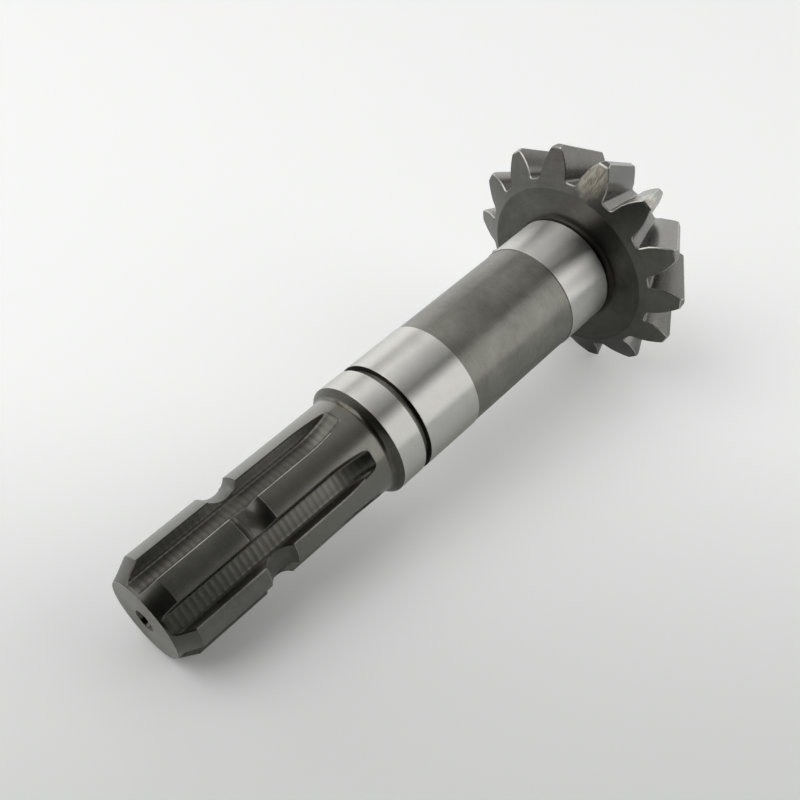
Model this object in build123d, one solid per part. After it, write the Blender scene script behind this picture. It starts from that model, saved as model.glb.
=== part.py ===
# Pinion shaft of a tractor gearbox: a six-spline drive end, a collar, a groove for a retaining ring,
# two ground bearing seats and a straight-tooth bevel pinion, all machined on one forged bar.
#
# The shaft is made upright on its turning axis, with the drive end's face at height 0. It is then
# laid down as it comes to rest, on two neighbouring pinion teeth and one spline. X runs from the
# drive end to the pinion, Z is up, and the origin is on the floor under the middle of the shaft.

from build123d import *
import math
import os

# Drive end with its straight-sided splines, and the groove that its coupling's lock pin drops into
drive_end_length = 84.85
spline_count = 6
spline_major_diameter = 34.85
spline_depth = 3.3
spline_width = 8.6
spline_root_chamfer = 0.8
spline_edge_break = 0.3
spline_cutter_diameter = 70.0
spline_clearance = 7.45
end_chamfer_length = 6.5
end_chamfer_angle = 30.0
lock_groove_place = 37.3
lock_groove_radius = 6.8
lock_groove_depth = 2.5

# Collar, ring groove, first bearing seat, plain middle, second seat and grinding undercut
collar_height = 2.575
collar_chamfer = 1.5
collar_fillet_length = 1.8
first_seat_length = 35.15
ring_groove_inset = 9.65
ring_groove_width = 2.7
ring_groove_depth = 1.9
middle_length = 49.75
middle_relief = 0.25
second_seat_length = 19.9
undercut_length = 2.55
undercut_depth = 0.4
undercut_slope = 1.4

# Straight bevel pinion. The factors are multiples of the module.
pinion_teeth = 14
mating_teeth = 27
gear_module = 5.5
pressure_angle = 22.5
addendum_factor = 1.336
dedendum_factor = 0.84
thickness_factor = 1.849
root_chamfer_factor = 0.13
face_width = 26.0
face_cone_angle = 33.2
crown_trim = 1.2
back_face_diameter = 62.8
toe_face_diameter = 55.0

# Centre holes in both ends, on which the shaft is turned and ground
centre_hole_diameter = 5.0
centre_hole_depth = 11.0
centre_mouth_depth = 2.2
centre_cone_angle = 60.0
drill_point_angle = 120.0

# Turn from the lowest tooth space of the pinion to the next spline, seen along the axis
spline_turn = 28.55


# Heights above the end face, worked out from the lengths
spline_end = drive_end_length - spline_clearance
ring_groove_place = drive_end_length + ring_groove_inset
first_seat_end = drive_end_length + first_seat_length
second_seat_start = first_seat_end + middle_length
second_seat_end = second_seat_start + second_seat_length
back_face_place = second_seat_end + undercut_length

# Radii of the shaft
spline_radius = spline_major_diameter / 2
spline_root_radius = spline_radius - spline_depth
seat_radius = spline_radius + collar_height

# Pitch cone of the pinion
pitch_radius = gear_module * pinion_teeth / 2
pitch_angle = math.atan2(pinion_teeth, mating_teeth)
cone_distance = pitch_radius / math.sin(pitch_angle)
heel_pitch_place = back_face_place + (pitch_radius - back_face_diameter / 2) * math.tan(pitch_angle)
apex_place = heel_pitch_place + cone_distance * math.cos(pitch_angle)
addendum = addendum_factor * gear_module
dedendum = dedendum_factor * gear_module


def on_back_cone(radius, shift=0.0):
    """Height of the cone square to the tooth line, shift along that line from the heel."""
    start_radius = pitch_radius - shift * math.sin(pitch_angle)
    start_place = heel_pitch_place + shift * math.cos(pitch_angle)
    return start_place + (radius - start_radius) * math.tan(pitch_angle)


toe_face_radius = toe_face_diameter / 2
toe_face_place = on_back_cone(toe_face_radius, face_width)


def turned_blank():
    """The whole shaft as it leaves the lathe, from half its outline."""
    face_radius = spline_radius - end_chamfer_length * math.tan(math.radians(end_chamfer_angle))
    chamfer_radius = seat_radius - collar_chamfer
    chamfer_place = drive_end_length - collar_chamfer
    fillet_place = chamfer_place - collar_fillet_length
    groove_end = ring_groove_place + ring_groove_width
    groove_radius = seat_radius - ring_groove_depth
    middle_radius = seat_radius - middle_relief
    undercut_radius = seat_radius - undercut_depth
    undercut_root = back_face_place - undercut_slope

    tip_radius = pitch_radius + addendum * math.cos(pitch_angle)
    tip_place = heel_pitch_place + addendum * math.sin(pitch_angle)
    outside_radius = tip_radius - crown_trim
    face_slope = math.tan(math.radians(face_cone_angle))
    crown_end = tip_place + crown_trim / face_slope
    toe_slope = math.tan(pitch_angle)
    toe_zero = on_back_cone(0, face_width)
    toe_tip_radius = (tip_radius + (tip_place - toe_zero) * face_slope) / (1 + toe_slope * face_slope)
    toe_tip_place = on_back_cone(toe_tip_radius, face_width)

    drive_end = Polyline(
        (0, 0),
        (face_radius, 0),
        (spline_radius, end_chamfer_length),
        (spline_radius, fillet_place),
    )
    collar_root = TangentArc(
        (spline_radius, fillet_place), (chamfer_radius, chamfer_place), tangent=(0, 1)
    )
    seats_and_pinion = Polyline(
        (chamfer_radius, chamfer_place),
        (seat_radius, drive_end_length),
        (seat_radius, ring_groove_place),
        (groove_radius, ring_groove_place),
        (groove_radius, groove_end),
        (seat_radius, groove_end),
        (seat_radius, first_seat_end),
        (middle_radius, first_seat_end),
        (middle_radius, second_seat_start),
        (seat_radius, second_seat_start),
        (seat_radius, second_seat_end),
        (undercut_radius, second_seat_end + undercut_depth),
        (undercut_radius, undercut_root),
        (undercut_radius + undercut_slope, back_face_place),
        (back_face_diameter / 2, back_face_place),
        (outside_radius, on_back_cone(outside_radius)),
        (outside_radius, crown_end),
        (toe_tip_radius, toe_tip_place),
        (toe_face_radius, toe_face_place),
        (0, toe_face_place),
        (0, 0),
    )
    outline = make_face(drive_end + collar_root + seats_and_pinion)
    return revolve(Plane.XZ * outline, Axis.Z)


def spline_space_outline():
    """Section of the space between two splines, its middle on the X axis."""
    half_step = math.radians(180 / spline_count)
    half_width = spline_width / 2
    overshoot = 0.1 * spline_radius

    def on_flank(radius, gap=0.0):
        """Point of the upper flank at a radius, gap away from the spline's own side."""
        turn = half_step - math.asin((half_width - gap) / radius)
        return (radius * math.cos(turn), radius * math.sin(turn))

    foot = on_flank(spline_root_radius)
    break_start = on_flank(spline_radius - spline_edge_break)
    break_end = on_flank(spline_radius, spline_edge_break)
    outer = on_flank(spline_radius + overshoot, spline_edge_break + overshoot)
    upper = Polyline(foot, break_start, break_end, outer)
    sides = upper + mirror(upper, Plane.XZ)
    root = ThreePointArc(foot, (spline_root_radius, 0), (foot[0], -foot[1]))
    top = Line(outer, (outer[0], -outer[1]))
    space = make_face(sides + root + top)
    corners = space.vertices().sort_by(Axis.X)[:2]
    return chamfer(corners, min(spline_root_chamfer, foot[1] / 2))


def spline_space():
    """Cutter path of one space: straight along the shaft, then out along the cutter's rim."""
    rim_turn = 45
    cutter_radius = spline_cutter_diameter / 2
    run_out = math.sqrt(cutter_radius**2 - (cutter_radius - spline_depth) ** 2)
    straight = spline_end - run_out
    space = spline_space_outline()
    cutter_axis = Axis((spline_root_radius + cutter_radius, 0, straight), (0, 1, 0))
    along = extrude(space, straight, dir=(0, 0, 1))
    rim = revolve(Plane.XY.offset(straight) * space, cutter_axis, rim_turn)
    return along + rim


def lock_groove():
    """Ring-shaped cut of round section across all the splines."""
    centre_radius = spline_radius - lock_groove_depth + lock_groove_radius
    section = Pos(centre_radius, lock_groove_place) * Circle(lock_groove_radius)
    return revolve(Plane.XZ * section, Axis.Z)


def centre_hole():
    """Drilled hole with its countersunk mouth, opening downwards at height 0."""
    hole_radius = centre_hole_diameter / 2
    mouth_radius = hole_radius + centre_mouth_depth * math.tan(math.radians(centre_cone_angle / 2))
    drill_tip = centre_hole_depth + hole_radius / math.tan(math.radians(drill_point_angle / 2))
    section = make_face(
        Polyline(
            (0, 0),
            (mouth_radius, 0),
            (hole_radius, centre_mouth_depth),
            (hole_radius, centre_hole_depth),
            (0, drill_tip),
            (0, 0),
        )
    )
    return revolve(Plane.XZ * section, Axis.Z)


def involute(angle):
    """Involute function of a pressure angle in radians."""
    return math.tan(angle) - angle


def tooth_space_outline():
    """Section of the space between two teeth, flat, with the pitch line at height 0."""
    flat_pitch = pitch_radius / math.cos(pitch_angle)
    flat_teeth = pinion_teeth / math.cos(pitch_angle)
    work_angle = math.radians(pressure_angle)
    base_radius = flat_pitch * math.cos(work_angle)
    root_radius = flat_pitch - dedendum
    top_radius = flat_pitch + addendum
    half_tooth = thickness_factor * gear_module / (2 * flat_pitch)

    def on_flank(radius):
        """Point of the flank that bounds the space on its positive side."""
        local = math.acos(min(1, base_radius / radius))
        turn = math.pi / flat_teeth - half_tooth - involute(work_angle) + involute(local)
        return (radius * math.sin(turn), radius * math.cos(turn) - flat_pitch)

    start_radius = max(base_radius, root_radius)
    span_count = 5
    steps = [(index / span_count) ** 1.5 for index in range(span_count + 1)]
    points = [on_flank(start_radius + (top_radius - start_radius) * step) for step in steps]
    foot = on_flank(root_radius)
    top = points[-1]
    lean = (top[0] - points[-2][0]) / (top[1] - points[-2][1])
    outer = (top[0] + lean * gear_module, top[1] + gear_module)

    side = Line(foot, points[0]) + Spline(*points) + Line(top, outer)
    floor = Line((-foot[0], foot[1]), foot)
    cap = Line(outer, (-outer[0], outer[1]))
    outline = make_face(side + mirror(side, Plane.YZ) + floor + cap)
    corners = outline.vertices().sort_by(Axis.Y)[:2]
    return chamfer(corners, min(root_chamfer_factor * gear_module, foot[0] / 2))


def tooth_space():
    """Space between two pinion teeth: its section at the heel drawn in to the pitch cone's apex."""
    outline = tooth_space_outline()
    past_heel = 0.15
    past_toe = 0.1
    to_apex = (-math.sin(pitch_angle), 0, math.cos(pitch_angle))
    heel = Plane(origin=(pitch_radius, 0, heel_pitch_place), x_dir=(0, -1, 0), z_dir=to_apex)
    toe_share = 1 - face_width / cone_distance

    def at_share(share):
        """The section at a share of the cone distance from the apex."""
        return scale(heel * outline, by=share, about=(0, 0, apex_place))

    return loft([at_share(1 + past_heel), at_share(toe_share - past_toe)], ruled=True)


def around_axis(piece, count, first_turn=0.0):
    """Copies of a piece, evenly spaced round the shaft."""
    return [Rot(0, 0, first_turn + index * 360 / count) * piece for index in range(count)]


def pinion_shaft():
    """The finished shaft, upright on its turning axis."""
    shaft = turned_blank()
    shaft -= around_axis(spline_space(), spline_count, spline_turn + 180 / spline_count)
    shaft -= lock_groove()
    shaft -= centre_hole()
    shaft -= Pos(0, 0, toe_face_place) * Rot(180, 0, 0) * centre_hole()
    shaft -= around_axis(tooth_space(), pinion_teeth)
    return shaft


def resting_tilt(shaft):
    """Angle by which the pinion end lies higher, from the corners that touch the floor."""
    points = [vertex.center() for vertex in shaft.vertices()]
    drive = [point for point in points if point.Z < spline_end]
    pinion = [point for point in points if point.Z > back_face_place]
    tilt = 0.0
    for _ in range(4):
        front = max(drive, key=lambda point: point.X * math.cos(tilt) - point.Z * math.sin(tilt))
        rear = max(pinion, key=lambda point: point.X * math.cos(tilt) - point.Z * math.sin(tilt))
        tilt = math.atan2(rear.X - front.X, rear.Z - front.Z)
    return math.degrees(tilt)


def laid_down(shaft):
    """The shaft turned on its side, with its origin under the middle of its box."""
    lying = Rot(0, 90 - resting_tilt(shaft), 0) * shaft
    box = lying.bounding_box()
    return Pos(-box.center().X, -box.center().Y, -box.min.Z) * lying


resting_shaft = laid_down(pinion_shaft())
resting_shaft.label = "pinion_shaft"

os.makedirs("parts", exist_ok=True)
export_step(resting_shaft, "parts/pinion_shaft.step")
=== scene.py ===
import math

import bmesh
import bpy
from mathutils import Euler, Matrix, Vector


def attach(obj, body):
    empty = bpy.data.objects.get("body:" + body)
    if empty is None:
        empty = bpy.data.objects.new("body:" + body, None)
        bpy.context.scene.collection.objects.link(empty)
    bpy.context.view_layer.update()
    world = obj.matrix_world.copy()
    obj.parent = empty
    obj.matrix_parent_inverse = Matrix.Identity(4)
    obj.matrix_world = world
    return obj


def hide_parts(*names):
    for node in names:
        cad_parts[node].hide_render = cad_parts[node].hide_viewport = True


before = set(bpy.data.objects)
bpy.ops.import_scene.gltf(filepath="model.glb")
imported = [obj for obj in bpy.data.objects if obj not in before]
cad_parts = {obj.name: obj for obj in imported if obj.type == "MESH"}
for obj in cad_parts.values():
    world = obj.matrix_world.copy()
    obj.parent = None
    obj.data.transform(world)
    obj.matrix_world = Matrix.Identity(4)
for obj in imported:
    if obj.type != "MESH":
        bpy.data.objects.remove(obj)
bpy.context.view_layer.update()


# Splined drive end: six straight-sided splines for a sliding coupling, hobbed into the bar and
# then case-hardened to a dark grey. The hob leaves ripples across each floor and its rim curves
# the floors out ahead of the collar. Heights are millimetres above the end face, turns degrees.
metres = 0.001
spline_count = 6
spline_radius = 17.425
spline_root_radius = 14.125
spline_half_width = 4.3
spline_root_fillet = 1.3
spline_edge_break = 0.3
hob_radius = 35.0
ripple_pitch = 2.15
ripple_depth = 0.03
flank_ripple_share = 0.3
rows_per_ripple = 5
spline_end = 77.4
closing_length = 0.25
closed_height = spline_end + closing_length
collar_root_start = 81.55
run_up_rows = 4
first_spline_turn = 28.55
worn_edge_reach = 10
end_chamfer_length = 6.5
end_chamfer_slope = math.tan(math.radians(30))
lock_groove_place = 37.3
lock_groove_radius = 6.8
lock_groove_depth = 2.5
edge_ease = 0.15
halvings = 40
top_steps = 4
flank_steps = 2
fillet_steps = 4
floor_steps = 3
spline_columns = 2 * (top_steps + 1 + flank_steps + fillet_steps + floor_steps)
shaft_columns = spline_count * spline_columns
sector_half = 180 / spline_count
spline_depth = spline_radius - spline_root_radius
floor_rise_start = spline_end - math.sqrt(hob_radius**2 - (hob_radius - spline_depth) ** 2)
worn_edge_end = floor_rise_start + worn_edge_reach
end_face_radius = spline_radius - end_chamfer_length * end_chamfer_slope


def at(radius, turn, height):
    """Point in metres at a turn round the axis."""
    angle = math.radians(turn)
    return (radius * math.cos(angle) * metres, radius * math.sin(angle) * metres, height * metres)


def placed(rows):
    """Points in metres from rows of radius, turn and height."""
    return [[at(*point) for point in row] for row in rows]


def skin(name, rows, chosen=None):
    """Mesh of four-sided faces between rows of equally many points, or of the chosen faces only."""
    width = len(rows[0])
    faces = []
    for row in range(len(rows) - 1):
        for column in range(width - 1):
            if chosen is None or chosen(row, column):
                corner = row * width + column
                faces.append((corner, corner + 1, corner + width + 1, corner + width))
    mesh = bpy.data.meshes.new(name)
    mesh.from_pydata([point for row in rows for point in row], [], faces)
    return mesh


def both_halves(half):
    """A half section from the middle of a tooth, with its mirror image on the other side."""
    return [(radius, -turn, height) for radius, turn, height in reversed(half[1:])] + half


def solve(rule, low, high):
    """Value between low and high at which a falling rule passes zero."""
    for _ in range(halvings):
        middle = (low + high) / 2
        if rule(middle) > 0:
            low = middle
        else:
            high = middle
    return (low + high) / 2


def ripple(height):
    """Metal that the hob leaves standing, in ridges one feed apart, nothing on average."""
    along = (height / ripple_pitch) % 1
    return ripple_depth * ((2 * along - 1) ** 2 - 1 / 3)


def spline_top(height):
    """Radius of the splines' tops: end chamfer, lock groove, else the full diameter."""
    chamfered = end_face_radius + height * end_chamfer_slope
    offset = height - lock_groove_place
    grooved = spline_radius
    if abs(offset) < lock_groove_radius:
        centre = spline_radius - lock_groove_depth + lock_groove_radius
        grooved = centre - math.sqrt(lock_groove_radius**2 - offset**2)
    return min(spline_radius, chamfered, grooved)


fillet_centre_side = spline_half_width + spline_root_fillet
fillet_centre_out = math.sqrt((spline_root_radius + spline_root_fillet) ** 2 - fillet_centre_side**2)
fillet_end_turn = math.degrees(math.atan2(fillet_centre_side, fillet_centre_out))
flank_top_out = math.sqrt(spline_radius**2 - spline_half_width**2)


def spline_wall(step, height):
    """Radius and turn on a spline's side: steps 0 to 1 flank, to 2 root fillet, to 3 floor."""
    left = ripple(height)
    if step <= 1:
        out = flank_top_out + (fillet_centre_out - flank_top_out) * step
        side = spline_half_width + left * flank_ripple_share
    elif step <= 2:
        angle = math.radians(-90 - (90 - fillet_end_turn) * (step - 1))
        reach = spline_root_fillet - left
        out = fillet_centre_out + reach * math.cos(angle)
        side = fillet_centre_side + reach * math.sin(angle)
    else:
        turn = math.radians(fillet_end_turn + (sector_half - fillet_end_turn) * (step - 2))
        out = (spline_root_radius + left) * math.cos(turn)
        side = (spline_root_radius + left) * math.sin(turn)
    radius = math.hypot(out, side)
    space_turn = math.radians(sector_half) - math.atan2(side, out)
    past = max(0.0, height - floor_rise_start)
    rim_centre = spline_root_radius + hob_radius
    space_out = rim_centre - math.sqrt((rim_centre - radius * math.cos(space_turn)) ** 2 - past**2)
    space_side = radius * math.sin(space_turn)
    risen_turn = sector_half - math.degrees(math.atan2(space_side, space_out))
    return math.hypot(space_out, space_side), risen_turn


def spline_row(height):
    """Half section of a spline: top, broken edge, flank, root fillet and floor."""
    top = spline_top(height)
    depth = max(0.0, top - spline_wall(2, height)[0])
    ease = min(spline_edge_break, depth / 2)
    edge = solve(lambda step: spline_wall(step, height)[0] - top, 0, 2)
    foot = solve(lambda step: spline_wall(step, height)[0] - top + ease, 0, 2)
    edge_turn = spline_wall(edge, height)[1] - math.degrees(ease / top)
    steps = [foot + max(0, 1 - foot) * part / flank_steps for part in range(flank_steps + 1)]
    bend = max(1, foot)
    steps += [bend + (2 - bend) * part / fillet_steps for part in range(1, fillet_steps + 1)]
    steps += [2 + part / floor_steps for part in range(1, floor_steps + 1)]
    half = [(top, edge_turn * part / top_steps, height) for part in range(top_steps + 1)]
    for step in steps:
        radius, turn = spline_wall(step, height)
        half.append((min(radius, top), turn, height))
    return both_halves(half)


def round_row(radius, height, turns=None):
    """Circle of the spline sector, its columns evenly spaced if no turns are given."""
    even = [sector_half * (2 * column / spline_columns - 1) for column in range(spline_columns + 1)]
    return [(radius, turn, height) for turn in (turns or even)]


def spread(row, share):
    """A round row, its columns moved by a share of the way to even spacing."""
    even = round_row(row[0][0], row[0][2])
    return [
        (radius, turn + (target[1] - turn) * share, height)
        for (radius, turn, height), target in zip(row, even)
    ]


row_step = ripple_pitch / rows_per_ripple
closest_rows = row_step / 4
groove_reach = math.sqrt(lock_groove_radius**2 - (lock_groove_radius - lock_groove_depth) ** 2)
groove_near = lock_groove_place - groove_reach
groove_far = lock_groove_place + groove_reach
spline_heights = [edge_ease, end_chamfer_length, groove_near, groove_far, spline_end, closed_height]
spline_heights += [groove_near - edge_ease, groove_far + edge_ease]
for number in range(1, int(spline_end / row_step)):
    if min(abs(number * row_step - height) for height in spline_heights) > closest_rows:
        spline_heights.append(number * row_step)
spline_heights.sort()
spline_rows = [spline_row(height) for height in spline_heights]
for number in range(1, run_up_rows + 1):
    share = number / run_up_rows
    height = closed_height + (collar_root_start - closed_height) * share
    round_top = [(spline_radius, turn, height) for _, turn, _ in spline_rows[-1]]
    spline_rows.append(spread(round_top, share))
end_turns = [turn for _, turn, _ in spline_rows[0]]
chamfer_foot = round_row(end_face_radius - edge_ease, 0, end_turns)
sector_rows = placed([chamfer_foot] + spline_rows)
run_up_start = len(sector_rows) - 1 - run_up_rows
round_rows = sum(spline_top(height) <= spline_root_radius for height in spline_heights)
chamfer_rows = sum(height <= end_chamfer_length for height in spline_heights)
worn_rows = sum(height < worn_edge_end for height in spline_heights)
groove_rims = [spline_heights.index(groove_near), spline_heights.index(groove_far) + 1]
groove_rows = range(groove_rims[0] + 1, groove_rims[1])
top_columns = range(spline_columns // 2 - top_steps, spline_columns // 2 + top_steps)
driven_edge = top_columns.start - 1
free_edge = top_columns.stop


def finish_of(row, column):
    """Finish of a face of the spline sector; of the two long edges only the driven one is worn."""
    on_top = column in top_columns
    cut_away = row < chamfer_rows or row in groove_rows
    if row == 0:
        return "edge"
    if row < round_rows or (cut_away and driven_edge <= column <= free_edge):
        return "chamfer"
    if row < worn_rows and (column == driven_edge or (on_top and row in groove_rims)):
        return "edge"
    return "top" if on_top or row >= run_up_start else "space"


def spline_part(wanted):
    """Faces of the spline sector that have one finish."""

    def chosen(row, column):
        return finish_of(row, column) == wanted

    return skin("spline_" + wanted, sector_rows, chosen)


class NodeTree:
    """Short ways to add nodes to a node tree and to join them."""

    def __init__(self, tree):
        self.nodes = tree.nodes
        self.link = tree.links.new

    def feed(self, value, socket):
        """Links an input to an output, or sets it to a value."""
        if isinstance(value, bpy.types.NodeSocket):
            self.link(value, socket)
        else:
            socket.default_value = value

    def fill(self, node, inputs):
        """Node with its inputs linked or set by name."""
        for name, value in inputs.items():
            self.feed(value, node.inputs[name])
        return node

    def add(self, kind, *given, **settings):
        """New node with its settings, its first inputs linked or set."""
        node = self.nodes.new(kind)
        for key, value in settings.items():
            setattr(node, key, value)
        for socket, value in zip(node.inputs, given):
            self.feed(value, socket)
        return node

    def number(self, operation, *given):
        """Number worked out from numbers."""
        return self.add("ShaderNodeMath", *given, operation=operation).outputs[0]

    def vector(self, operation, *given):
        """Vector worked out from vectors."""
        return self.add("ShaderNodeVectorMath", *given, operation=operation).outputs["Vector"]

    def measure(self, operation, *given):
        """Number worked out from vectors."""
        return self.add("ShaderNodeVectorMath", *given, operation=operation).outputs["Value"]

    def total(self, first, *others):
        """Sum of numbers."""
        for value in others:
            first = self.number("ADD", first, value)
        return first

    def product(self, first, *others):
        """Product of numbers."""
        for value in others:
            first = self.number("MULTIPLY", first, value)
        return first

    def scaled(self, *pairs):
        """Vector of three numbers, each times its scale."""
        values = [self.product(value, scale) for value, scale in pairs]
        return self.add("ShaderNodeCombineXYZ", *values).outputs[0]

    def ramp(self, value, low, high, start, stop, **settings):
        """Number that goes from start to stop while the value goes from low to high."""
        return self.add("ShaderNodeMapRange", value, low, high, start, stop, **settings).outputs[0]

    def noise(self, vector, scale, detail, rough):
        """Noise between 0 and 1."""
        inputs = {"Vector": vector, "Scale": scale, "Detail": detail, "Roughness": rough}
        return self.fill(self.add("ShaderNodeTexNoise"), inputs).outputs["Fac"]

    def mixed(self, first, second, share):
        """Mix of two colours."""
        node = self.add("ShaderNodeMix", share, data_type="RGBA")
        inputs = {socket.identifier: socket for socket in node.inputs}
        for name, value in (("A_Color", first), ("B_Color", second)):
            if isinstance(value, tuple):
                value = (*value, 1)
            self.feed(value, inputs[name])
        outputs = {socket.identifier: socket for socket in node.outputs}
        return outputs["Result_Color"]


def repeat_tree():
    """Node tree that sets copies of a sector round the shaft's axis."""
    group = bpy.data.node_groups.new("repeat_round_axis", "GeometryNodeTree")
    tree = NodeTree(group)
    kinds = {"Sector": "Geometry", "Copies": "Int", "First Turn": "Float", "Finish": "Material"}
    for name, kind in kinds.items():
        group.interface.new_socket(name, in_out="INPUT", socket_type="NodeSocket" + kind)
    group.interface.new_socket("Ring", in_out="OUTPUT", socket_type="NodeSocketGeometry")
    given = tree.add("NodeGroupInput").outputs
    index = tree.add("GeometryNodeInputIndex").outputs[0]
    step = tree.number("DIVIDE", 2 * math.pi, given["Copies"])
    turn = tree.number("MULTIPLY_ADD", index, step, given["First Turn"])
    turned = tree.add("ShaderNodeCombineXYZ", 0, 0, turn).outputs[0]
    places = tree.add("GeometryNodePoints", given["Copies"]).outputs[0]
    inputs = {"Points": places, "Instance": given["Sector"], "Rotation": turned}
    copies = tree.fill(tree.add("GeometryNodeInstanceOnPoints"), inputs).outputs[0]
    real = tree.add("GeometryNodeRealizeInstances", copies).outputs[0]
    inputs = {"Geometry": real, "Material": given["Finish"]}
    finished = tree.fill(tree.add("GeometryNodeSetMaterial"), inputs).outputs[0]
    tree.add("NodeGroupOutput", finished)
    return group


repeat_round_axis = repeat_tree()


def ring_of(sector, copies, first_turn, finish):
    """Plain mesh of a sector repeated round the axis, and its finish."""
    holder = bpy.data.objects.new(sector.name, sector)
    bpy.context.collection.objects.link(holder)
    repeat = holder.modifiers.new("repeat", "NODES")
    repeat.node_group = repeat_round_axis
    wanted = {"Copies": copies, "First Turn": math.radians(first_turn), "Finish": finish}
    for socket in repeat_round_axis.interface.items_tree:
        if socket.name in wanted:
            repeat[socket.identifier] = wanted[socket.name]
    graph = bpy.context.evaluated_depsgraph_get()
    ring = bpy.data.meshes.new_from_object(holder.evaluated_get(graph))
    bpy.data.objects.remove(holder)
    return ring, finish


# The shaft lies tilted, so patterns are worked out on it as if it stood on its splined end. Each
# noise is a scale per metre, a detail and a roughness, but lines and scuffs are scaled by their
# lay. The values after them turn the noises into colour, dullness and relief.
resting_tilt = 7.8046275
end_face_centre = Vector((-110.660989, 0, 15.770712)) * metres
upright_turn = (0, math.radians(90 - resting_tilt), 0)
axis_way = (math.cos(math.radians(resting_tilt)), 0, math.sin(math.radians(resting_tilt)))
stain_noise = (60.0, 4.0, 0.55)
cloud_noise = (300.0, 3.0, 0.5)
grain_noise = (1600.0, 2.0, 0.6)
line_noise = (1.0, 3.0, 0.6)
scuff_noise = (1.0, 4.0, 0.65)
scuff_lay = (285.0, 66.0)
stain_weight = 0.5
cloud_weight = 0.2
fine_weight = 0.15
worn_range = (0.34, 0.66)
stain_range = (0.3, 0.7)
scuff_range = (0.38, 0.62)
stain_polish = 0.04
stain_dulling = 0.03
grain_dulling = 0.05
scuff_dulling = 0.12
oil_roughness = 0.16
patch_fade = (1.5, 2.1)
pale_gain = 1.6
# Band shade and range set the painted shade along the hob's ridges: a share of the dark colour, over a
# range of the ridge wave.
band_shade = 0.35
band_range = (0.35, 0.95)
floor_fade = (0.15, 0.6)
run_out_fade = (69, 75)
run_out_share = 0.15


def new_finish(name):
    """Empty material and its node tree."""
    finish = bpy.data.materials.new(name)
    finish.use_nodes = True
    finish.node_tree.nodes.clear()
    return finish, NodeTree(finish.node_tree)


def spline_floor(tree, radius, height):
    """Share by which a spot lies on a spline floor, which rises where the hob ran out."""
    past = tree.number("MAXIMUM", tree.number("SUBTRACT", height, floor_rise_start * metres), 0.0)
    rise = tree.product(past, past, 0.5 / (hob_radius * metres))
    above = tree.number("SUBTRACT", tree.number("SUBTRACT", radius, rise), spline_root_radius * metres)
    fade_start, fade_end = floor_fade
    return tree.ramp(above, fade_start * metres, fade_end * metres, 1.0, 0.0)


def ripple_painted_shade(tree, height, strength):
    """Share of painted shade in dark bands along the hob's ridges, one feed apart, for how the ripples
    catch the light.
    """
    wave = tree.number("FRACT", tree.number("DIVIDE", height, ripple_pitch * metres))
    ridge = tree.number("ABSOLUTE", tree.number("SUBTRACT", tree.product(wave, 2.0), 1.0))
    return tree.ramp(ridge, *band_range, 0.0, strength)


def across_marks(tree, seen):
    """Way across the machining marks, which run round the axis, for the stretched reflections."""
    outward = tree.vector("SUBTRACT", seen["Object"], end_face_centre)
    along = tree.vector("CROSS_PRODUCT", axis_way, outward)
    across = tree.vector("CROSS_PRODUCT", seen["Normal"], along)
    turned = tree.add("ShaderNodeVectorTransform", across, convert_from="OBJECT", convert_to="WORLD")
    return turned.outputs[0]


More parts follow.
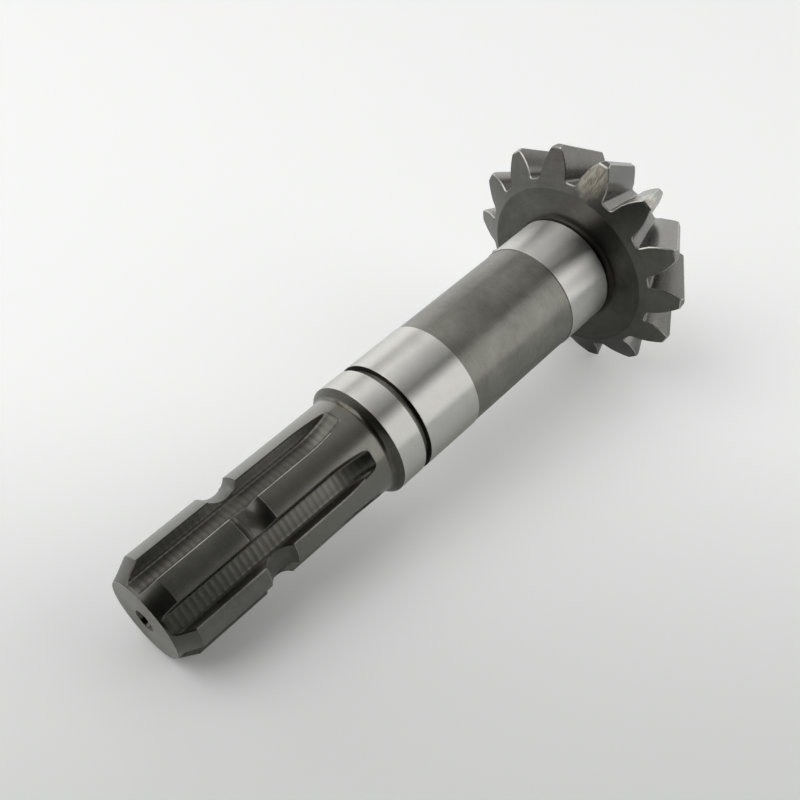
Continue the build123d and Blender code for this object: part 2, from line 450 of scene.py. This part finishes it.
def steel(
    name,
    dark,
    light,
    roughness,
    lay,
    lay_depth=0.003,
    brushed=0.0,
    oil=0.0,
    bands=0.0,
    patch=None,
    paler=None,
):
    """Bare steel with machining marks, stains and oil.

    The lay is marks a metre along the axis and out from it, and marks a radian round it. Bands is
    the strength of the dark bands painted as shade along the hob's ridges. A patch is its place, size,
    dark and light. Paler is the heights between which the steel grows lighter, and by what share.
    """
    finish, tree = new_finish(name)
    seen = tree.add("ShaderNodeTexCoord").outputs
    spot = tree.add(
        "ShaderNodeMapping", seen["Object"], end_face_centre, upright_turn, vector_type="TEXTURE"
    ).outputs[0]
    sideways, forward, height = tree.add("ShaderNodeSeparateXYZ", spot).outputs
    squares = tree.total(tree.product(sideways, sideways), tree.product(forward, forward))
    radius = tree.number("SQRT", squares)
    turn = tree.number("ARCTAN2", forward, sideways)
    along, around = lay
    lines = tree.noise(tree.scaled((height, along), (turn, around), (radius, along)), *line_noise)
    stains = tree.noise(spot, *stain_noise)
    cloud = tree.noise(spot, *cloud_noise)
    grain = tree.noise(spot, *grain_noise)

    coarse = tree.total(tree.product(stains, stain_weight), tree.product(cloud, cloud_weight))
    worn = tree.total(coarse, tree.product(tree.total(lines, grain), fine_weight))
    colour = tree.mixed(dark, light, tree.ramp(worn, *worn_range, 0.0, 1.0))
    relief = tree.product(tree.total(lines, tree.product(grain, fine_weight)), lay_depth * metres)
    dull = tree.ramp(stains, *stain_range, roughness - stain_polish, roughness + stain_dulling)
    dull = tree.total(dull, tree.product(grain, grain_dulling))
    on_floor = spline_floor(tree, radius, height) if bands else 1.0
    if paler:
        low, high, most = paler
        growing = tree.ramp(height, low * metres, high * metres, 0.0, most)
        if bands:
            fade_start, fade_end = run_out_fade
            fade = tree.ramp(height, fade_start * metres, fade_end * metres, 1.0, run_out_share)
            growing = tree.product(growing, on_floor, fade)
        colour = tree.mixed(colour, tuple(value * pale_gain for value in light), growing)
    # The hob's dark bands are painted shade on the floors, for how the ripples catch the light.
    if bands:
        share = tree.product(ripple_painted_shade(tree, height, bands), on_floor)
        colour = tree.mixed(colour, tuple(value * band_shade for value in dark), share)
    if patch:
        centre, size, patch_dark, patch_light = patch
        along, around = scuff_lay
        scuff = tree.noise(tree.scaled((radius, along), (turn, around), (height, along)), *scuff_noise)
        away = tree.measure("DISTANCE", spot, Vector(centre) * metres)
        ragged = tree.total(away, tree.product(tree.total(scuff, cloud), size * metres))
        fade_start, fade_end = patch_fade
        share = tree.ramp(ragged, size * fade_start * metres, size * fade_end * metres, 1.0, 0.0)
        scuffed = tree.mixed(patch_dark, patch_light, tree.ramp(scuff, *scuff_range, 0.0, 1.0))
        colour = tree.mixed(colour, scuffed, share)
        dull = tree.total(dull, tree.product(share, scuff_dulling))

    bump = tree.fill(tree.add("ShaderNodeBump"), {"Strength": 1.0, "Distance": 1.0, "Height": relief})
    look = {
        "Base Color": colour,
        "Metallic": 1.0,
        "Roughness": dull,
        "Normal": bump.outputs[0],
        "Coat Weight": oil,
        "Coat Roughness": oil_roughness,
        "Anisotropic": brushed,
    }
    if brushed:
        look["Tangent"] = across_marks(tree, seen)
    body = tree.fill(tree.add("ShaderNodeBsdfPrincipled"), look)
    tree.add("ShaderNodeOutputMaterial", body.outputs[0])
    return finish


# Its bands are painted shade along the hob's ridges.
hobbed_steel = steel(
    "hobbed_steel",
    dark=(0.045, 0.045, 0.038),
    light=(0.095, 0.093, 0.08),
    roughness=0.3,
    lay=(2500, 3),
    oil=0.2,
    bands=0.22,
    paler=(5, 68, 0.6),
)
hardened_steel = steel(
    "hardened_steel",
    dark=(0.072, 0.071, 0.058),
    light=(0.138, 0.136, 0.115),
    roughness=0.3,
    lay=(2200, 2),
    brushed=0.5,
    oil=0.9,
    paler=(28, 72, 0.38),
)
chamfered_steel = steel(
    "chamfered_steel",
    dark=(0.046, 0.045, 0.037),
    light=(0.092, 0.09, 0.076),
    roughness=0.36,
    lay=(2200, 2),
    brushed=0.3,
    oil=0.6,
)
worn_steel = steel(
    "worn_steel",
    dark=(0.12, 0.118, 0.105),
    light=(0.5, 0.495, 0.465),
    roughness=0.3,
    lay=(1500, 8),
)
spline_parts = {
    "space": hobbed_steel,
    "top": hardened_steel,
    "chamfer": chamfered_steel,
    "edge": worn_steel,
}
spline_rings = [
    ring_of(spline_part(part), spline_count, first_spline_turn, finish)
    for part, finish in spline_parts.items()
]


# End faces, squared off on the lathe, with the drilled centre holes that the shaft was turned and
# ground on. Both holes are alike: a short drill bore under a 60 degree mouth.
hole_radius = 2.5
hole_mouth_depth = 2.2
hole_mouth_half_angle = math.radians(30)
hole_mouth_radius = hole_radius + hole_mouth_depth * math.tan(hole_mouth_half_angle)
hole_depth = 11.0
drill_half_angle = math.radians(60)
drill_tip = hole_depth + hole_radius / math.tan(drill_half_angle)
rim_width = 3 * edge_ease
drive_face_rim = 10.0
toe_face_place = 219.465
toe_face_rim = 21.5
hole_outline = [
    (0, drill_tip),
    (hole_radius, hole_depth),
    (hole_radius, hole_mouth_depth + edge_ease),
    (hole_radius, hole_mouth_depth),
    (hole_mouth_radius - edge_ease, edge_ease),
    (hole_mouth_radius + edge_ease, 0),
    (hole_mouth_radius + rim_width, 0),
]
bore_rows = 3
mouth_rows = bore_rows + 2
centre_steel = steel(
    "centre_steel",
    dark=(0.03, 0.029, 0.025),
    light=(0.12, 0.115, 0.1),
    roughness=0.2,
    lay=(1800, 3),
    lay_depth=0.002,
)
faced_steel = steel(
    "faced_steel",
    dark=(0.19, 0.185, 0.17),
    light=(0.32, 0.311, 0.288),
    roughness=0.42,
    lay=(1800, 3),
    lay_depth=0.005,
    brushed=0.6,
)
# Near-black steel is painted shade for the drilled bores, the ring groove's far wall and the grinding
# undercut, where shade falls.
painted_shade_steel = steel(
    "painted_shade_steel",
    dark=(0.018, 0.017, 0.014),
    light=(0.06, 0.057, 0.048),
    roughness=0.45,
    lay=(1800, 3),
)


def face_rings(rows):
    """Rings of an end face: bore darkened as painted shade, mouth burnished by the lathe centre, then
    the face.
    """
    points = placed(rows)
    zones = [
        (0, bore_rows, painted_shade_steel),
        (bore_rows, mouth_rows, centre_steel),
        (mouth_rows, len(points), faced_steel),
    ]
    return [
        ring_of(skin("end_zone", points[first : last + 1]), spline_count, first_spline_turn, finish)
        for first, last, finish in zones
    ]


drive_outline = hole_outline + [(drive_face_rim, 0)]
drive_rows = [round_row(radius, depth) for radius, depth in drive_outline]
drive_rows += [round_row(end_face_radius - rim_width, 0, end_turns), chamfer_foot]
toe_outline = hole_outline + [(toe_face_rim, 0)]
toe_rows = [round_row(radius, toe_face_place - depth) for radius, depth in toe_outline]
end_rings = face_rings(drive_rows) + face_rings(toe_rows)


# Turned lengths of the shaft: collar with its ring groove, plain middle and grinding undercut.
# They are left as turned and hardened, dark and satin, beside the two ground bearing seats.
collar_start = 83.35
collar_root_radius = 18.5
seat_radius = 20.0
seat_start = 84.85
groove_start = 94.5
groove_end = 97.2
groove_radius = 18.1
first_seat_end = 120.0
middle_radius = 19.75
second_seat_start = 169.75
second_seat_end = 189.65
undercut_radius = 19.6
undercut_fillet = 1.4
undercut_run_in = 0.4
back_face_place = 192.2
undercut_flat = 0.3
back_face_rim = undercut_radius + undercut_fillet + undercut_flat
arc_steps = 6
slack = 0.02
groove_wall_reach = 0.1
flat_reach = 0.04


def arc(centre, radius, start, stop):
    """Points of an arc in the half section, angles from the radial direction."""
    points = []
    for step in range(arc_steps + 1):
        angle = math.radians(start + (stop - start) * step / arc_steps)
        points.append((centre[0] + radius * math.cos(angle), centre[1] + radius * math.sin(angle)))
    return points


def eased(outline, ease):
    """Outline with its sharp corners rounded, and a point near each end of a long run."""
    smooth_bend = math.radians(12)
    bend_step = math.radians(20)
    longest_cut = 0.4
    long_run = 6 * ease
    lead = 2 * ease
    result = [outline[0]]
    for before, corner, after in zip(outline, outline[1:], outline[2:]):
        middle = Vector(corner)
        arrive = middle - Vector(before)
        leave = Vector(after) - middle
        turn = arrive.angle(leave)
        if turn < smooth_bend:
            result.append(corner)
            continue
        cut = min(ease * math.tan(turn / 2), longest_cut * arrive.length, longest_cut * leave.length)
        arrive_way = arrive.normalized()
        leave_way = leave.normalized()
        if arrive.length > long_run:
            result.append(tuple(middle - arrive_way * (cut + lead)))
        first = middle - arrive_way * cut
        last = middle + leave_way * cut
        steps = max(2, math.ceil(turn / bend_step))
        for step in range(steps + 1):
            share = step / steps
            bend = first * (1 - share) ** 2 + middle * 2 * share * (1 - share) + last * share**2
            result.append(tuple(bend))
        if leave.length > long_run:
            result.append(tuple(middle + leave_way * (cut + lead)))
    return result + [outline[-1]]


def between(outline, low, high):
    """Part of the outline between two heights."""
    return [point for point in outline if low <= point[1] <= high]


def turned_ring(name, outline, finish):
    """Length of the shaft turned from its half outline, and its finish."""
    half_step = 180 / shaft_columns
    rows = [[(radius, turn, height) for turn in (-half_step, half_step)] for radius, height in outline]
    return ring_of(skin(name, placed(rows)), shaft_columns, first_spline_turn + half_step, finish)


collar_rise = collar_start - collar_root_start
collar_reach = collar_root_radius - spline_radius
root_arc_radius = (collar_rise**2 + collar_reach**2) / (2 * collar_reach)
root_arc_turn = math.degrees(math.asin(collar_rise / root_arc_radius))
root_centre_out = spline_radius + root_arc_radius
collar_root = arc((root_centre_out, collar_root_start), root_arc_radius, 180, 180 - root_arc_turn)
turned_corners = [
    (seat_radius, seat_start),
    (seat_radius, groove_start),
    (groove_radius, groove_start),
    (groove_radius, groove_end),
    (seat_radius, groove_end),
    (seat_radius, first_seat_end),
    (middle_radius, first_seat_end),
    (middle_radius, second_seat_start),
    (seat_radius, second_seat_start),
    (seat_radius, second_seat_end),
]
fillet_centre = (undercut_radius + undercut_fillet, back_face_place - undercut_fillet)
shaft_outline = eased(collar_root + turned_corners, edge_ease)
shaft_outline += [(undercut_radius, second_seat_end + undercut_run_in)]
shaft_outline += arc(fillet_centre, undercut_fillet, 180, 90)
shaft_outline += [(back_face_rim, back_face_place)]
root_outline = between(shaft_outline, 0, collar_start - slack)
collar_outline = between(shaft_outline, root_outline[-1][1], seat_start + slack)
groove_outline = between(shaft_outline, groove_start - slack, groove_end + slack)
floor_points = len(between(groove_outline, 0, groove_end - groove_wall_reach))
middle_outline = between(shaft_outline, first_seat_end - slack, second_seat_start + slack)
undercut_outline = between(shaft_outline, second_seat_end - slack, back_face_place)
fillet_points = len(between(undercut_outline, 0, back_face_place - flat_reach))
turned_steel = steel(
    "turned_steel",
    dark=(0.142, 0.14, 0.121),
    light=(0.282, 0.278, 0.245),
    roughness=0.42,
    lay=(2200, 2),
    lay_depth=0.004,
    brushed=0.5,
    oil=0.4,
)
# The collar's root fillet is darkened as painted shade in its hollow.
root_painted_shade_steel = steel(
    "root_painted_shade_steel",
    dark=(0.035, 0.033, 0.027),
    light=(0.15, 0.14, 0.112),
    roughness=0.27,
    lay=(2200, 2),
    brushed=0.5,
    oil=0.4,
)
# The ring groove's far wall and the undercut are near black as painted shade.
turned_rings = [
    turned_ring("collar_root", root_outline, root_painted_shade_steel),
    turned_ring("collar", collar_outline, chamfered_steel),
    turned_ring("groove_floor", groove_outline[:floor_points], turned_steel),
    turned_ring("groove_wall", groove_outline[floor_points - 1 :], painted_shade_steel),
    turned_ring("middle", middle_outline, turned_steel),
    turned_ring("undercut", undercut_outline[:fillet_points], painted_shade_steel),
    turned_ring("undercut_rim", undercut_outline[fillet_points - 1 :], chamfered_steel),
]


# Bearing seats, ground bright to size for the two bearings that press onto them. The wheel leaves
# very fine lines round the shaft.
ground_steel = steel(
    "ground_steel",
    dark=(0.555, 0.55, 0.52),
    light=(0.675, 0.67, 0.637),
    roughness=0.33,
    lay=(5000, 2),
    lay_depth=0.0012,
    brushed=0.9,
)


def seat_ring(name, before, after):
    """Ground length from the end of one turned length to the start of the next."""
    low = shaft_outline.index(before[-1])
    high = shaft_outline.index(after[0])
    return turned_ring(name, shaft_outline[low : high + 1], ground_steel)


seat_rings = [
    seat_ring("collar_seat", collar_outline, groove_outline),
    seat_ring("first_seat", groove_outline, middle_outline),
    seat_ring("second_seat", middle_outline, undercut_outline),
]


# Bevel pinion, cut in one with the shaft: fourteen straight teeth that all run to one apex, with
# rounded roots, broken edges, and their tips cut back where the crown's cylinder meets the heel.
pinion_teeth = 14
mating_teeth = 27
pitch_radius = 38.5
pitch_angle = math.atan2(pinion_teeth, mating_teeth)
pitch_slope = math.tan(pitch_angle)
heel_pitch_place = 195.881
apex_place = 270.131
addendum = 7.348
dedendum = 4.62
tooth_thickness = 10.1695
pressure_angle = math.radians(22.5)
root_fillet = 1.2
face_width = 26.0
face_slope = math.tan(math.radians(33.2))
tip_radius = pitch_radius + addendum * math.cos(pitch_angle)
tip_place = heel_pitch_place + addendum * math.sin(pitch_angle)
crown_trim = 1.2
outside_radius = tip_radius - crown_trim
crown_end = tip_place + crown_trim / face_slope
back_face_radius = 31.4
heel_rim_width = 0.5
heel_inner_radius = back_face_radius - heel_rim_width
toe_face_radius = 27.5
toe_inner_radius = 22.3
tip_break = 0.25
end_break = 0.35
longest_crown = 0.5
tip_steps = 3
upper_steps = 3
lower_steps = 2
root_steps = 4
tooth_columns = 2 * (tip_steps + 1 + upper_steps + lower_steps + root_steps + 1)
length_steps = 8
tooth_half = 180 / pinion_teeth
flat_pitch = pitch_radius / math.cos(pitch_angle)
base_radius = flat_pitch * math.cos(pressure_angle)
space_half_angle = (
    math.pi * math.cos(pitch_angle) / pinion_teeth
    - tooth_thickness / (2 * flat_pitch)
    - (math.tan(pressure_angle) - pressure_angle)
)


def back_cone(radius, shift=0.0):
    """Height of the cone across the tooth ends, shifted along the pitch line."""
    start_radius = pitch_radius - shift * math.sin(pitch_angle)
    return heel_pitch_place + shift * math.cos(pitch_angle) + (radius - start_radius) * pitch_slope


def heel_end(radius):
    """Height of the heel surface: back cone, flat inside."""
    return max(back_cone(radius), back_face_place)


def toe_end(radius):
    """Height of the toe surface: cone, flat inside."""
    return max(back_cone(radius, face_width), toe_face_place)


def flank(flat_radius):
    """Side of a tooth space across the heel: sideways from its middle, up from the pitch line."""
    local = math.acos(min(1, base_radius / flat_radius))
    angle = space_half_angle + math.tan(local) - local
    return flat_radius * math.sin(angle), flat_radius * math.cos(angle) - flat_pitch


root_side, root_up = flank(flat_pitch - dedendum)
wall_lean = space_half_angle
fillet_cut = root_fillet / math.tan((math.pi / 2 + wall_lean) / 2)
fillet_top = flat_pitch - dedendum + fillet_cut
root_centre = (root_side - fillet_cut, root_up + root_fillet)


def root_bend(share):
    """Root fillet from the flank, share 0, to the floor, share 1."""
    angle = -wall_lean - (math.pi / 2 - wall_lean) * share
    return root_centre[0] + root_fillet * math.cos(angle), root_centre[1] + root_fillet * math.sin(angle)


def tooth_point(spot, along):
    """Radius, turn and height on the apex line through a spot of the heel section."""
    side, up = spot
    out = pitch_radius + up * math.cos(pitch_angle)
    reach = math.hypot(side, out)
    drop = apex_place - heel_pitch_place - up * math.sin(pitch_angle)
    fall = reach * pitch_slope + drop
    heel_share = (apex_place - back_cone(0)) / fall
    toe_share = min((apex_place - back_cone(0, face_width)) / fall, (apex_place - toe_face_place) / drop)
    share = heel_share + (toe_share - heel_share) * along
    return reach * share, tooth_half - math.degrees(math.atan2(side, out)), apex_place - drop * share


def blank_radius(height):
    """Radius of the turned gear blank: crown cylinder, then face cone."""
    return min(outside_radius, tip_radius - (height - tip_place) * face_slope)


def tip_corner(along):
    """Flank radius in the flat section at which the flank leaves the blank."""

    def under(flat_radius):
        radius, _, height = tooth_point(flank(flat_radius), along)
        return blank_radius(height) - radius

    return solve(under, base_radius, flat_pitch + 2 * addendum)


def inside_toe_face(flat_radius):
    """How far the toe end of a flank lies inside the rim of the flat toe face."""
    return toe_face_radius - tooth_point(flank(flat_radius), 1)[0]


toe_kink = solve(inside_toe_face, base_radius, flat_pitch + addendum)


def tooth_row(along):
    """Half section of a tooth: tip, broken edge, flank, root fillet and floor."""
    corner = tip_corner(along)
    radius, turn, height = tooth_point(flank(corner), along)
    edge_turn = turn - math.degrees(tip_break / radius)
    half = [(radius, edge_turn * part / tip_steps, height) for part in range(tip_steps + 1)]
    top = corner - tip_break
    upper = [top + (toe_kink - top) * part / upper_steps for part in range(upper_steps + 1)]
    fall = fillet_top - toe_kink
    lower = [toe_kink + fall * part / lower_steps for part in range(1, lower_steps + 1)]
    spots = [flank(side) for side in upper + lower]
    spots += [root_bend(part / root_steps) for part in range(1, root_steps + 1)]
    spots.append((0, root_up))
    return half + [tooth_point(spot, along) for spot in spots]


def inset(half, depth, surface):
    """Half section on a tooth end, moved into the metal by a depth."""
    full = []
    for radius, turn, _ in both_halves(half):
        angle = math.radians(turn)
        full.append(Vector((radius * math.cos(angle), radius * math.sin(angle))))
    middle = len(half) - 1
    result = []
    for index in range(middle, len(full)):
        before = full[index - 1]
        after = full[min(index + 1, len(full) - 1)]
        way = (after - before).normalized()
        spot = full[index] + Vector((-way.y, way.x)) * depth
        if index == len(full) - 1:
            spot = full[index] * (1 - depth / full[index].length)
        turn = half[0][1] if index == middle else math.degrees(math.atan2(spot.y, spot.x))
        result.append((spot.length, min(turn, tooth_half), surface(spot.length)))
    return result


def crown_left(along):
    """Length of the crown's cylinder that is left past a place along the tooth."""
    return crown_end - tooth_point(flank(tip_corner(along)), along)[2]


break_step = end_break / face_width
crown = solve(crown_left, 0, longest_crown)
face_steps = [part / length_steps for part in range(1, length_steps + 1)]
tooth_steps = [break_step, crown / 2, crown]
tooth_steps += [crown + (1 - break_step - crown) * step for step in face_steps]
heel_edge = inset(tooth_row(0), end_break, heel_end)
toe_edge = inset(tooth_row(1), end_break, toe_end)
half_rows = [heel_edge] + [tooth_row(along) for along in tooth_steps] + [toe_edge]
tooth_rows = placed([both_halves(row) for row in half_rows])
end_strips = (0, len(tooth_rows) - 2)
tip_edges = (tooth_columns // 2 - tip_steps - 1, tooth_columns // 2 + tip_steps)


def is_edge(row, column):
    """Whether a face of the tooth sector is one of its broken edges."""
    return row in end_strips or column in tip_edges


def is_flank(row, column):
    """Whether a face of the tooth sector is not one of its broken edges."""
    return not is_edge(row, column)


def end_sector(name, edge, radii, surface):
    """Tooth end from its edge in towards the axis."""
    rows = [edge]
    for target in radii:
        reached = [(min(radius, target), turn) for radius, turn, _ in edge]
        rows.append([(radius, turn, surface(radius)) for radius, turn in reached])
    return skin(name, placed([both_halves(row) for row in rows]))


# Marks that other steel left on one tooth, each a place on the shaft, a size, a dark and a light:
# its heel is rubbed, its flank has met the mating gear, and its edge is knocked bright and painted near
# white at mid-length as a highlight.
rub_mark = ((-40.0, -8.0, 196.5), 9.0, (0.18, 0.168, 0.138), (0.5, 0.47, 0.395))
contact_mark = ((-30.0, -23.0, 203.0), 9.0, (0.24, 0.228, 0.19), (0.68, 0.65, 0.56))
knocked_and_glinting_edge = ((-32.0, -19.0, 203.0), 7.5, (0.62, 0.615, 0.59), (0.9, 0.895, 0.87))
cut_steel = steel(
    "cut_steel",
    dark=(0.12, 0.118, 0.108),
    light=(0.198, 0.195, 0.18),
    roughness=0.25,
    lay=(900, 6),
    lay_depth=0.0015,
    oil=0.3,
    patch=contact_mark,
)
# The edges' near-white patch on one tooth is wear and a painted highlight.
bruised_steel = steel(
    "bruised_steel",
    dark=(0.27, 0.266, 0.243),
    light=(0.58, 0.575, 0.54),
    roughness=0.32,
    lay=(1500, 8),
    patch=knocked_and_glinting_edge,
)
blank_steel = steel(
    "blank_steel",
    dark=(0.068, 0.067, 0.06),
    light=(0.135, 0.133, 0.12),
    roughness=0.3,
    lay=(1500, 2),
    brushed=0.7,
    oil=0.3,
    patch=rub_mark,
)
heel_radii = (back_face_radius, heel_inner_radius)
toe_radii = (toe_face_radius, toe_inner_radius)
tooth_parts = [
    (skin("tooth_sector", tooth_rows, is_flank), cut_steel),
    (skin("edge_sector", tooth_rows, is_edge), bruised_steel),
    (end_sector("heel_sector", heel_edge, heel_radii, heel_end), blank_steel),
    (end_sector("toe_end_sector", toe_edge, toe_radii, toe_end), blank_steel),
]
tooth_rings = [
    ring_of(sector, pinion_teeth, tooth_half, finish) for sector, finish in tooth_parts
]


# The whole shaft: one forging, so its lengths are welded into one closed skin, the two flat faces
# of the pinion are filled in, and it is laid down as it rests on two teeth and a spline.
lengths = spline_rings + end_rings + turned_rings + seat_rings + tooth_rings
finishes = list(dict.fromkeys(finish for _, finish in lengths))
weld_distance = 0.000002
crease_angle = math.radians(25)
skin_mesh = bmesh.new()
for ring, finish in lengths:
    start = len(skin_mesh.faces)
    skin_mesh.from_mesh(ring)
    skin_mesh.faces.ensure_lookup_table()
    for face in skin_mesh.faces[start:]:
        face.material_index = finishes.index(finish)
bmesh.ops.remove_doubles(skin_mesh, verts=skin_mesh.verts, dist=weld_distance)
bmesh.ops.dissolve_degenerate(skin_mesh, edges=skin_mesh.edges, dist=weld_distance)


def fill_flat(place, finish):
    """Fills the open ring of a flat face between its two rims, whose columns differ."""
    rim = {
        vert
        for edge in skin_mesh.edges
        if edge.is_boundary
        for vert in edge.verts
        if abs(vert.co.z - place * metres) < weld_distance
    }
    middle = sum(vert.co.xy.length for vert in rim) / len(rim)
    turn_of = {vert: math.atan2(vert.co.y, vert.co.x) for vert in rim}
    inner = sorted((vert for vert in rim if vert.co.xy.length < middle), key=turn_of.get)
    outer = sorted((vert for vert in rim if vert.co.xy.length > middle), key=turn_of.get)

    def next_turn(ring, index):
        """Turn of the ring's next vertex, counted on past a full turn."""
        if index >= len(ring):
            return math.inf
        if index + 1 == len(ring):
            return turn_of[ring[0]] + 2 * math.pi
        return turn_of[ring[index + 1]]

    near, far = 0, 0
    while near < len(inner) or far < len(outer):
        first, second = inner[near % len(inner)], outer[far % len(outer)]
        if next_turn(inner, near) < next_turn(outer, far):
            near += 1
            third = inner[near % len(inner)]
        else:
            far += 1
            third = outer[far % len(outer)]
        skin_mesh.faces.new((first, second, third)).material_index = finishes.index(finish)


fill_flat(back_face_place, blank_steel)
fill_flat(toe_face_place, faced_steel)
bmesh.ops.recalc_face_normals(skin_mesh, faces=skin_mesh.faces)
for face in skin_mesh.faces:
    face.smooth = True
for edge in skin_mesh.edges:
    edge.smooth = edge.calc_face_angle(math.pi) < crease_angle
laid_down = Matrix.Translation(end_face_centre) @ Euler(upright_turn).to_matrix().to_4x4()
skin_mesh.transform(laid_down)
shaft_mesh = bpy.data.meshes.new("pinion_shaft_steel")
skin_mesh.to_mesh(shaft_mesh)
skin_mesh.free()
for finish in finishes:
    shaft_mesh.materials.append(finish)
shaft = bpy.data.objects.new("pinion_shaft_steel", shaft_mesh)
bpy.context.collection.objects.link(shaft)
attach(shaft, "root")
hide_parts("pinion_shaft")


# Floor: a wide sheet of matt white paper under soft light. It glows a little for the camera and in
# reflections, so that it stays pale and keeps a soft shadow.
floor_half = 40.0
paper_white = (0.81, 0.82, 0.812, 1)
corner_ways = ((-1, -1), (1, -1), (1, 1), (-1, 1))
floor_mesh = bpy.data.meshes.new("floor")
corners = [(side * floor_half, out * floor_half, 0) for side, out in corner_ways]
floor_mesh.from_pydata(corners, [], [(0, 1, 2, 3)])
floor = bpy.data.objects.new("floor", floor_mesh)
bpy.context.collection.objects.link(floor)
paper, paper_tree = new_finish("floor_paper")
paper_spot = paper_tree.add("ShaderNodeTexCoord").outputs["Object"]
paper_rays = paper_tree.add("ShaderNodeLightPath").outputs
# Each glow: the rays that see it, how its distance is taken and along which way, the distances
# in metres where it starts and ends, and its strength at both.
# The glows are painted light: the paper is lit more on the side away from the camera and far off, and in
# reflections on that far side.
floor_glows = (
    ("Is Camera Ray", "DOT_PRODUCT", (0.73, 0.68, 0), (-0.16, 0.06, 0.01, 0.26)),
    ("Is Camera Ray", "LENGTH", (0, 0, 0), (0.6, 2.0, 0.0, 0.4)),
    ("Is Glossy Ray", "DOT_PRODUCT", (0.3, 0.95, 0), (0.04, 0.14, 0.0, 0.23)),
)
strength = 0.0
for rays, measure, way, ends in floor_glows:
    far = paper_tree.measure(measure, paper_spot, way)
    growing = paper_tree.ramp(far, *ends, interpolation_type="SMOOTHSTEP")
    strength = paper_tree.number("MULTIPLY_ADD", paper_rays[rays], growing, strength)
sheet = paper_tree.add("ShaderNodeBsdfDiffuse", paper_white)
glow = paper_tree.fill(paper_tree.add("ShaderNodeEmission"), {"Strength": strength})
both = paper_tree.add("ShaderNodeAddShader", sheet.outputs[0], glow.outputs[0])
paper_tree.add("ShaderNodeOutputMaterial", both.outputs[0])
floor_mesh.materials.append(paper)


# Light: a large soft box behind the shaft on the left casts its shadow, a lower one stands on the
# right and shows in the seats, and pale walls and a ceiling light the sides and the far end. The
# room is dark on the side that the shaft is seen from.
room_white = (1, 1, 0.98, 1)
room_light = 0.25
dark_side_light = 0.015
background_glow = 0.6
dark_side = Euler((0, math.radians(-8), math.radians(-150))).to_matrix() @ Vector((1, 0, 0))
dusk_start = math.cos(math.radians(76))
dusk_end = math.cos(math.radians(38))
unit_watts = 2.45
room = bpy.data.worlds.new("room")
room.use_nodes = True
bpy.context.scene.world = room
room_tree = NodeTree(room.node_tree)
looked_at = room_tree.add("ShaderNodeTexCoord").outputs["Generated"]
nearness = room_tree.measure("DOT_PRODUCT", looked_at, dark_side)
dusk = room_tree.ramp(
    nearness, dusk_start, dusk_end, room_light, dark_side_light, interpolation_type="SMOOTHSTEP"
)
to_camera = room_tree.add("ShaderNodeLightPath").outputs["Is Camera Ray"]
room_strength = room_tree.number("MULTIPLY_ADD", to_camera, background_glow, dusk)
room_tree.fill(room.node_tree.nodes["Background"], {"Color": room_white, "Strength": room_strength})


def soft_box(name, compass, elevation, distance, width, height, glow):
    """Soft box turned to the shaft, in degrees and metres. A glow of 1 is unit watts a square metre."""
    lamp = bpy.data.lights.new(name, "AREA")
    lamp.shape = "RECTANGLE"
    lamp.size = width
    lamp.size_y = height
    lamp.energy = glow * unit_watts * width * height
    box = bpy.data.objects.new(name, lamp)
    way = Euler((0, math.radians(-elevation), math.radians(compass))).to_matrix() @ Vector((1, 0, 0))
    box.location = way * distance
    box.rotation_euler = (-way).to_track_quat("-Z", "Y").to_euler()
    box.visible_camera = False
    bpy.context.collection.objects.link(box)


soft_box("left_box", 142, 52, 1.1, 1.0, 1.0, 2.45)
soft_box("left_wall", 125, 11, 1.4, 1.6, 0.6, 0.8)
soft_box("right_box", -53, 22, 1.2, 1.05, 1.15, 1.62)
soft_box("right_wall", -5, 15, 1.4, 1.05, 0.8, 0.85)
soft_box("far_wall", 62, 15, 1.5, 3.0, 1.1, 1.2)
soft_box("ceiling", 30, 62, 1.2, 1.3, 0.8, 0.52)


# Camera: stands off the drive end and looks down along the shaft towards the pinion.
camera_place = Vector((-198.7739, -177.72944, 251.96852)) * metres
camera_aim = Vector((20.65, 26.02, 0)) * metres
camera_roll = math.radians(0.27)
camera_lens = 47.9437
film_width = 36.0
camera_data = bpy.data.cameras.new("camera")
camera_data.lens = camera_lens
camera_data.sensor_width = film_width
camera = bpy.data.objects.new("camera", camera_data)
level = (camera_aim - camera_place).to_track_quat("-Z", "Y").to_matrix().to_4x4()
rolled = Matrix.Rotation(camera_roll, 4, "Z")
camera.matrix_world = Matrix.Translation(camera_place) @ level @ rolled
bpy.context.collection.objects.link(camera)
bpy.context.scene.camera = camera
bpy.context.scene.view_settings.view_transform = "Standard"
